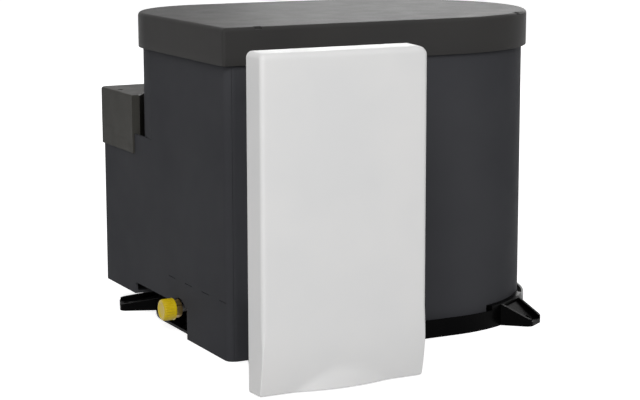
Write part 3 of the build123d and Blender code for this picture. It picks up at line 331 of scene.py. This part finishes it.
# Each flute is a squared half wave round the cap, cut only between the plain rim and the outer edge.
cap_wave = (0.5 - 0.5 * np.cos(cap_flutes * round_turn(288))) ** 2
cap_fluted = (cap_along < -flute_start) & (cap_along > -flute_stop) & (cap_radius > flute_least_radius)
cap_points = turned_along_x((cap_inner_end, nut_centre[1], nut_centre[2]), cap_along,
                            cap_radius[:, None] - cap_flute_depth * cap_fluted[:, None] * cap_wave[None, :])
surface("push_on_cap", cap_points[:, ::-1], cap_plastic, "gas_cap", "gas_cap", close_first=True,
        close_last=True, angle=28)
dress(zinc, "gas_inlet_pipe")


# Gas valve: a die-cast body with a solenoid coil on its back, behind the side opening.
# The coil is wound in black plastic, and pulls a steel plunger back against a small wire spring.
# A bent stainless pipe leads the gas up to the jet.
cast_alloy = finish("cast_alloy", metal, metallic=1.0, Colour=(0.42, 0.42, 0.43, 1),
                    Stain_colour=(0.34, 0.34, 0.34, 1), Stretch=(1.0, 1.0, 1.0), Scratch_depth=0.5,
                    Roughness_low=0.45, Roughness_high=0.65)
coil_plastic = finish("coil_plastic", moulded, Colour=(0.015, 0.015, 0.017, 1),
                      Second_colour=(0.02, 0.02, 0.022, 1), Grain_size=900.0, Grain_depth=0.15,
                      Roughness_low=0.35, Roughness_high=0.5)
dress(cast_alloy, "gas_valve_body")
dress(coil_plastic, "solenoid_coil")
dress(zinc, "valve_plunger")
dress(stainless, "burner_gas_pipe")

spring_low, spring_high = frame_box("plunger_spring")
spring_centre = (spring_low + spring_high) / 2
spring_wire = 0.7
spring_turns = 4
spring_length = spring_high[1] - spring_low[1]
spring_radius = (spring_high[0] - spring_low[0] - spring_wire) / 2
spring_run = spring_length - spring_wire
spring_share = np.linspace(0, 1, 193)[:, None]
spring_turn = 2 * math.pi * spring_turns * spring_share
wire_turn = round_turn(12)[None, :]
# A point of the coil is its place on the helix, moved by half the wire's width outwards and along the axis.
coil_radius = spring_radius + spring_wire / 2 * np.cos(wire_turn)
coil_points = np.stack([spring_centre[0] + coil_radius * np.cos(spring_turn),
                        spring_low[1] + spring_wire / 2 * (1 + np.sin(wire_turn)) + spring_run * spring_share,
                        spring_centre[2] + coil_radius * np.sin(spring_turn)], axis=-1)
closing_spring = surface("closing_spring", coil_points, zinc, "heater", "plunger_spring", close_first=True,
                         close_last=True)
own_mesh(closing_spring)


# Water pipes: two stainless stubs, each with a rolled bead for its hose, low for cold and high for hot.
# They are welded into the tank and leave the back wall through black rubber grommets.
dress(stainless, "cold_water_pipe", "hot_water_pipe")
dress(rubber, "water_grommets")


# Control board with its cover: a lacquered board on four moulded posts in the connection housing.
# It carries a relay, chokes and a green terminal block. A grained cap with a stepped recess on its lower
# edge drops over the housing and lifts off for wiring.
board_lacquer = finish("board_lacquer", moulded, coat=0.4, Colour=(0.008, 0.07, 0.03, 1),
                       Second_colour=(0.012, 0.09, 0.04, 1), Grain_size=1800.0, Grain_depth=0.2,
                       Roughness_low=0.35, Roughness_high=0.5)
terminal_plastic = finish("terminal_plastic", moulded, Colour=(0.16, 0.24, 0.19, 1),
                          Second_colour=(0.19, 0.27, 0.21, 1), Grain_size=900.0, Grain_depth=0.1,
                          Roughness_low=0.4, Roughness_high=0.5)
box_plastic = finish("box_plastic", moulded, specular=0.02, Colour=(0.045, 0.0435, 0.0395, 1),
                     Second_colour=(0.053, 0.0515, 0.046, 1), Grain_size=1500.0, Grain_depth=0.35,
                     Roughness_low=0.38, Roughness_high=0.44)
dress(board_lacquer, "circuit_board")
dress(coil_plastic, "board_parts")
dress(terminal_plastic, "terminal_block")
dress(zinc, "board_screws")
dress(box_plastic, "control_box_cover")


# Lid: a flat moulding in black grained plastic with a soft top edge and a skirt over the casing's rim.
# Its plan is the casing's D shape, with a nearly sharp front-left corner, and two small notches break its
# top edge. Underneath it has a locating rib and a grid of stiffening ribs. It lifts off by hand.
lid_plastic = finish("lid_plastic", moulded, specular=0.018, Colour=(0.043, 0.042, 0.0415, 1),
                     Second_colour=(0.048, 0.0465, 0.045, 1), Grain_size=1300.0, Grain_depth=0.3,
                     Roughness_low=0.42, Roughness_high=0.46)
lid_low, lid_high = frame_box("lid")
lid_overhang = 5.0
lid_wall = 2.4
lid_plate = 3.0
lid_edge = 4.0
back_arc = 101.0
front_corner, least_corner = 2.0, 0.25
notch_depth, notch_half = 2.6, 3.6
notch_x = lid_low[0] + 38.0
notch_angle = -0.9
notch_front_reach, notch_in, notch_floor = 8, -1.4, 2.4
casing_left = lid_low[0] + lid_overhang
casing_deep = (lid_high[1] - lid_low[1]) / 2 - lid_overhang
# Steps along the front line are millimetres from its left end, and round the end they are degrees. The fine
# ones of the front line hold its notch. Those of the round end stand to the right of its own.
front_steps = (0, 1.5, 28, 0.5, 45, 3.0, -casing_left)
end_steps = (-90, 0.8, -26, 0.2, -19, 0.8, 90)
back_places, left_arc_places, left_places, corner_steps = 28, 70, 64, 12


def stepped(*stops):
    """Places along a line, given as start, pitch, stop, pitch, stop: even steps near each stretch's pitch."""
    parts = [np.array([float(stops[0])])]
    for start, pitch, stop in zip(stops[0:-2:2], stops[1:-1:2], stops[2::2]):
        parts.append(np.linspace(start, stop, max(2, round(abs(stop - start) / pitch) + 1))[1:])
    return np.concatenate(parts)


def lid_plan(offset):
    """The casing's plan moved outwards by each offset, one row of places for each.

    Front line, half circle of the round end, back line, quarter circle, left line and the small corner:
    each is a line or a circle whose radius and place grow with the offset.
    """
    deep = casing_deep + offset
    sharp = np.maximum(offset - front_corner, least_corner)
    x_low, y_low = casing_left - offset + sharp, -deep + sharp
    front_x = x_low * (1 - stepped(*front_steps)[None, :] / -casing_left)
    turn = np.radians(stepped(*end_steps)[1:])[None, :]
    end_x, end_y = deep * np.cos(turn), deep * np.sin(turn)
    arc_x, arc_y = casing_left + back_arc, casing_deep - back_arc
    back_x = arc_x * np.linspace(0, 1, back_places)[None, 1:] + 0 * deep
    turn = np.radians(np.linspace(90, 180, left_arc_places))[None, 1:]
    left_arc_x = arc_x + (back_arc + offset) * np.cos(turn)
    left_arc_y = arc_y + (back_arc + offset) * np.sin(turn)
    left_y = arc_y + (y_low - arc_y) * np.linspace(0, 1, left_places)[None, 1:]
    left_x = casing_left - offset + 0 * left_y
    turn = np.radians(np.linspace(180, 270, corner_steps))[None, 1:-1]
    corner_x, corner_y = x_low + sharp * np.cos(turn), y_low + sharp * np.sin(turn)
    x = np.concatenate([front_x, end_x, back_x, left_arc_x, left_x, corner_x], axis=1)
    y = np.concatenate([-deep + 0 * front_x, end_y, deep + 0 * back_x, left_arc_y, left_y, corner_y], axis=1)
    return np.stack([x, y], axis=-1)


def lid_rings(profile):
    """Rings of the lid, one for each row of the profile: an offset, a height and a share.

    A ring is the plan at its offset, drawn towards the middle to its share. Where a notch sits, rings near
    the top edge are pushed down and in to its flat bottom.
    """
    offset, height, share = (column[:, None] for column in np.array(profile, dtype=float).T)
    plan = lid_plan(offset)
    bottom = lid_high[2] - notch_depth
    on_front = plan[..., 1] < -casing_deep + notch_front_reach
    at_front = (np.abs(plan[..., 0] - notch_x) < notch_half) & on_front
    at_end = np.abs(np.arctan2(plan[..., 1], plan[..., 0]) - notch_angle) * casing_deep < notch_half
    cut = (at_front | at_end) & (height > bottom) & (offset > notch_in)
    floor_plan = lid_plan(np.minimum(offset, notch_floor))
    plan = np.where((cut & (offset > notch_floor))[..., None], floor_plan, plan)
    middle = np.array([casing_left / 6, 0.0])
    plan = middle + (plan - middle) * share[..., None]
    return np.concatenate([plan, np.where(cut, bottom, height + 0 * plan[..., 0])[..., None]], axis=-1)


lid_top, lid_rim = lid_high[2], lid_low[2]
lid_under, lid_inner = lid_high[2] - lid_plate, lid_overhang - lid_wall
edge_out, edge_up = lid_overhang - lid_edge, lid_top - lid_edge
under_corner = ((-2, 0), (-0.4, -0.4), (0, -1.2))
rim_inside = ((0, 17), (0, 0.7), (0.3, 0.2), (0.8, 0))
rim_outside = ((-0.6, 0), (-0.15, 0.15), (0, 0.6), (0, 10), (0, 22))
edge_turn = np.radians(np.linspace(0, 90, 12))
top_offsets = (0.3, -1.3, -1.5, -2.6, -6.0)
# The profile runs from the middle of the underside, down inside the skirt, round its rim, up its outside,
# round the top edge and back to the middle of the top.
lid_profile = [(lid_inner, lid_under, share) for share in (0.02, 0.4, 0.8)]
lid_profile += [(lid_inner + out, lid_under + up, 1) for out, up in under_corner]
lid_profile += [(lid_inner + out, lid_rim + up, 1) for out, up in rim_inside]
lid_profile += [(lid_overhang + out, lid_rim + up, 1) for out, up in rim_outside]
lid_profile += [(edge_out + lid_edge * math.cos(turn), edge_up + lid_edge * math.sin(turn), 1)
                for turn in edge_turn]
lid_profile += [(offset, lid_top, 1) for offset in top_offsets]
lid_profile += [(top_offsets[-1], lid_top, share) for share in (0.85, 0.6, 0.3, 0.02)]
surface("lid_moulding", lid_rings(lid_profile), lid_plastic, "lid", "lid", close_first=True, close_last=True,
        angle=32)

locating_section = ((-3.3, 0.1), (-3.3, -5.4), (-3.6, -5.9), (-4.6, -5.9), (-4.9, -5.4), (-4.9, 0.1))
rib_profile = [(out, lid_under + up, 1) for out, up in locating_section]
surface("lid_locating_rib", lid_rings(rib_profile), lid_plastic, "lid")

rib_thick = 1.6
rib_across_shares = np.array([-0.5, -0.42, -0.25, 0.25, 0.42, 0.5])
rib_heights = np.array([0.1, -2.5, -3.0, -3.0, -2.5, 0.1])
rib_gap, rib_left_gap = 6.5, 8.5
cross_rib_places = (-200.0, -130.0, -60.0, 10.0, 80.0)
long_rib_places = (-70.0, 0.0, 70.0)


def straight_rib(name, start, stop):
    """A straight rib under the lid: one six-sided section, narrower at its free edge, at both its ends."""
    start, stop = np.array(start, dtype=float), np.array(stop, dtype=float)
    side = np.array([start[1] - stop[1], stop[0] - start[0]]) / np.linalg.norm(stop - start)
    across = rib_thick * rib_across_shares
    height = lid_under + rib_heights
    ends = np.stack([start, stop])[:, None, :] + side * across[None, :, None]
    rings = np.concatenate([ends, np.broadcast_to(height[None, :, None], (*ends.shape[:2], 1))], axis=-1)
    surface(name, rings, lid_plastic, "lid", close_first=True, close_last=True)


rib_reach = casing_deep - rib_gap
for number, x in enumerate(cross_rib_places):
    front_reach = rib_reach if x <= 0 else math.sqrt(rib_reach ** 2 - x ** 2)
    from_arc = casing_left + back_arc - x
    back_reach = front_reach
    if from_arc > 0:
        back_reach = casing_deep - back_arc + math.sqrt((back_arc - rib_gap) ** 2 - from_arc ** 2)
    straight_rib(f"lid_cross_rib_{number}", (x, -front_reach), (x, back_reach))
for number, y in enumerate(long_rib_places):
    right_end = math.sqrt(rib_reach ** 2 - y ** 2)
    straight_rib(f"lid_long_rib_{number}", (casing_left + rib_left_gap, y), (right_end, y))


# Flue: a stainless exhaust tube runs inside a square duct of zinc-coated sheet through the caravan wall.
# Outside, a black plastic cowl frame is screwed on over a rubber seal, with a slotted grille in it: air
# goes in below and the exhaust comes out above.
cowl_plastic = finish("cowl_plastic", moulded, Colour=(0.012, 0.012, 0.013, 1),
                      Second_colour=(0.016, 0.016, 0.016, 1), Grain_size=1200.0, Grain_depth=0.3,
                      Roughness_low=0.45, Roughness_high=0.6)
dress(stainless, "exhaust_tube")
dress(zinc, "air_duct")
dress(rubber, "cowl_seal")
dress(cowl_plastic, "cowl_frame", "cowl_grille")


# Cowl cover: one shell moulded in glossy white plastic, pressed on over the cowl's rim in winter.
# Its sides are drafted two degrees and its front edge is soft. The lower end is swept back, and in its
# middle a flared lip stands out to pull it off by.
cover_plastic = finish("cover_plastic", moulded, specular=0.2, Colour=(0.70, 0.70, 0.70, 1),
                       Second_colour=(0.735, 0.73, 0.725, 1), Grain_size=1100.0, Grain_depth=0.1,
                       Roughness_low=0.34, Roughness_high=0.42)
cover_low, cover_high = frame_box("cowl_cover")
cover_middle = (cover_low + cover_high) / 2
cover_half = ((cover_high - cover_low) / 2)[[0, 2]]
cover_deep = cover_high[1] - cover_low[1]
cover_wall = 2.5
cover_slope = math.tan(math.radians(2.0))
sweep_height, sweep_depth, sweep_power = 58.0, 7.4, 1.9
lip_half, lip_slope, lip_blend = 50.0, 0.154, 3.2
soft_low, soft_more, soft_top, soft_least = 1.0, 3.5, 1.5, 0.5
soft_from, soft_over, soft_wall_share = 40.0, 30.0, 0.8
side_least = 1.0
corner_sign = np.array([(1, -1), (1, 1), (-1, 1), (-1, -1)], dtype=float)
corner_radius = np.array([3.5, 9.0, 6.0, 3.0])
corner_least = 0.2
corner_places = 13
corner_start = np.array([-90, 0, 90, 180])
corner_turn = np.radians(corner_start[:, None] + np.linspace(0, 90, corner_places)[None, :])
edge_share = np.linspace(0, 1, 102)[1:-1]
side_shares = np.array([0.0, 0.02, 0.3, 0.6, 0.9])[:, None]
face_shares = np.linspace(0.99, 0.004, 90)[:, None, None]
corner_ray = np.stack([np.cos(corner_turn), np.sin(corner_turn)], axis=-1)
edge_ray = np.repeat(corner_ray[:, -1:], len(edge_share), axis=1)
outline_ray = np.concatenate([corner_ray, edge_ray], axis=1).reshape(-1, 2)


def cover_outline(inset):
    """Rounded rectangle about the cover's middle, drawn in by an inset for each ring and place.

    A corner place is its centre plus what is left of the radius along its ray. An edge place is a share
    of the way between two corners, moved in along the edge's normal. A radius never falls under its least
    value, and past that the corner's centre moves in.
    """
    inset = inset.reshape(len(inset), len(corner_sign), -1)
    corners, edges = inset[:, :, :corner_places, None], inset[:, :, corner_places:, None]
    radius = corner_radius[:, None, None]
    centre = corner_sign * (cover_half - corner_radius[:, None])
    moved = centre[:, None] - corner_sign[:, None] * np.maximum(corners - radius + corner_least, 0)
    corner_place = moved + np.maximum(radius - corners, corner_least) * corner_ray
    normal = corner_ray[:, -1]
    start = centre + corner_radius[:, None] * normal
    stop = np.roll(centre, -1, axis=0) + np.roll(corner_radius, -1)[:, None] * normal
    line = start[:, None] + (stop - start)[:, None] * edge_share[None, :, None]
    edge_place = line - edge_ray * edges
    return np.concatenate([corner_place, edge_place], axis=2).reshape(len(inset), -1, 2)


def cover_face(x, z):
    """How far the cover's front stands out, x from its middle and z above its lower edge.

    Full depth less the sweep, a power curve over the lowest part, or less the lip, an upright cone in
    the middle. The two are blended where they cross, with a small bulge along the crease.
    """
    swept = sweep_depth * np.clip((sweep_height - z) / sweep_height, 0, 1) ** sweep_power
    radius = (lip_half ** 2 + sweep_depth ** 2) / (2 * sweep_depth)
    lip = radius - np.sqrt(np.maximum(radius ** 2 - x ** 2, 0)) + lip_slope * z
    share = np.clip(0.5 + (swept - lip) / lip_blend, 0, 1)
    return cover_deep - swept * (1 - share) - lip * share + lip_blend / 2 * share * (1 - share)


def cover_skin(wall):
    """Rings of the cover's outer skin, or of its inner one where wall is over 0.

    Up the drafted side to the start of the soft edge, a quarter circle round that edge, then over the face
    to the middle. The soft edge grows with the height and is widest along the top.
    """
    outline = cover_outline(np.zeros((1, len(outline_ray))))[0]
    height = outline[:, 1] + cover_half[1]
    risen = np.clip((height - soft_from) / soft_over, 0, 1)
    soft = soft_low + soft_more * risen + soft_top * np.clip(outline_ray[:, 1], 0, 1)
    soft = np.maximum(soft - wall * soft_wall_share, soft_least)[None, :]
    base = (cover_deep - wall - soft) * cover_slope
    side_full = np.maximum(cover_face(outline[:, 0], height)[None, :] - wall - soft, side_least)
    side_reach = side_full * side_shares
    side = cover_outline(side_reach * cover_slope + wall)
    turn = np.radians(np.linspace(0, 90, 9))[:, None]
    edge = cover_outline(base + soft * (1 - np.cos(turn)) + wall)
    edge_face = cover_face(edge[..., 0], edge[..., 1] + cover_half[1])
    edge_reach = np.maximum(edge_face - wall - soft * (1 - np.sin(turn)), 0)
    face = cover_outline(base + soft + wall) * face_shares
    face_reach = cover_face(face[..., 0], face[..., 1] + cover_half[1]) - wall
    place = np.concatenate([side, edge, face])
    reach = np.concatenate([side_reach, edge_reach, face_reach])
    return np.stack([cover_middle[0] + place[..., 0], cover_high[1] - reach,
                     cover_middle[2] + place[..., 1]], axis=-1)


surface("cover_shell", np.concatenate([cover_skin(cover_wall)[::-1], cover_skin(0.0)]), cover_plastic,
        "cowl_cover", "cowl_cover", close_first=True, close_last=True, angle=40)


# Stage: a pale paper floor that keeps the heater's shadow, in an even white surround.
# Four soft lamps stand in front, at the side, above and behind. To the eye and in reflections the floor is
# brighter than the light that it throws on the heater, and so is the surround.
floor_side = 12
bpy.ops.mesh.primitive_plane_add(size=floor_side, location=(0, 0, cad_box[0][2]))
floor = bpy.context.object
floor.name = "floor"


def seen_or_mirrored(tree, *rays):
    """1 for the named kinds of ray and 0 for all others."""
    path = tree.nodes.new("ShaderNodeLightPath")
    found = path.outputs[rays[0]]
    for ray in rays[1:]:
        either = tree.nodes.new("ShaderNodeMath")
        either.operation = "MAXIMUM"
        tree.links.new(found, either.inputs[0])
        tree.links.new(path.outputs[ray], either.inputs[1])
        found = either.outputs["Value"]
    return found


floor_paint = bpy.data.materials.new("floor_paint")
floor_paint.use_nodes = True
tree = floor_paint.node_tree
paper = tree.nodes["Principled BSDF"]
paper.inputs["Roughness"].default_value = 0.95
paper.inputs["Emission Color"].default_value = (1, 1, 1, 1)
direct = seen_or_mirrored(tree, "Is Camera Ray", "Is Glossy Ray")
for socket, hidden, shown in (("Emission Strength", 0.05, 0.72), ("Base Color", 0.45, 0.88)):
    level = tree.nodes.new("ShaderNodeMapRange")
    tree.links.new(direct, level.inputs["Value"])
    level.inputs["To Min"].default_value = hidden
    level.inputs["To Max"].default_value = shown
    tree.links.new(level.outputs["Result"], paper.inputs[socket])
floor.data.materials.append(floor_paint)

world = bpy.data.worlds.new("surround")
bpy.context.scene.world = world
world.use_nodes = True
tree = world.node_tree
tree.nodes.clear()
backgrounds = []
for strength in (0.3, 1.0):
    background = tree.nodes.new("ShaderNodeBackground")
    background.inputs["Color"].default_value = (1, 1, 1, 1)
    background.inputs["Strength"].default_value = strength
    backgrounds.append(background)
choose = tree.nodes.new("ShaderNodeMixShader")
output = tree.nodes.new("ShaderNodeOutputWorld")
tree.links.new(seen_or_mirrored(tree, "Is Camera Ray", "Is Glossy Ray", "Is Transmission Ray"),
               choose.inputs["Fac"])
tree.links.new(backgrounds[0].outputs["Background"], choose.inputs[1])
tree.links.new(backgrounds[1].outputs["Background"], choose.inputs[2])
tree.links.new(choose.outputs["Shader"], output.inputs["Surface"])


def soft_lamp(name, place, aim, width, height, power):
    """A rectangular lamp at a place, turned to a point: tilted by its drop, then swung round Z."""
    lamp = bpy.data.lights.new(name, "AREA")
    lamp.shape = "RECTANGLE"
    lamp.size, lamp.size_y = width, height
    lamp.energy = power
    holder = bpy.data.objects.new(name, lamp)
    bpy.context.collection.objects.link(holder)
    run = np.array(aim) - np.array(place)
    holder.location = place
    holder.rotation_euler = (math.atan2(math.hypot(run[0], run[1]), -run[2]), 0,
                             math.atan2(run[1], run[0]) - math.pi / 2)


soft_lamp("key", place=(-1.15, -2.4, 1.4), aim=(0, 0, 0.15), width=1.6, height=1.6, power=47)
soft_lamp("side", place=(-2.4, -1.2, 1.0), aim=(0, 0, 0.15), width=1.2, height=1.2, power=6)
soft_lamp("top", place=(0.2, 0.3, 2.2), aim=(0, 0, 0.2), width=1.6, height=1.6, power=8)
soft_lamp("back", place=(1.98, 2.36, 1.0), aim=(0, 0, 0.33), width=2.0, height=0.9, power=18)


# Camera: it stands where a fit to the casing's and the cover's edges in the photograph puts it.
# It looks down by ten degrees from the front left, through a long lens.
camera_pitch, camera_roll, camera_swing = 10.0875, 0.104, 27.088
lens = bpy.data.cameras.new("camera")
lens.sensor_width = 36
lens.lens = 105.73
camera = bpy.data.objects.new("camera", lens)
bpy.context.collection.objects.link(camera)
camera.location = (-0.99776, -1.79460, 0.48444)
camera.rotation_euler = (math.radians(90 - camera_pitch), math.radians(camera_roll),
                         math.radians(-camera_swing))
bpy.context.scene.camera = camera
bpy.context.scene.view_settings.view_transform = "Standard"
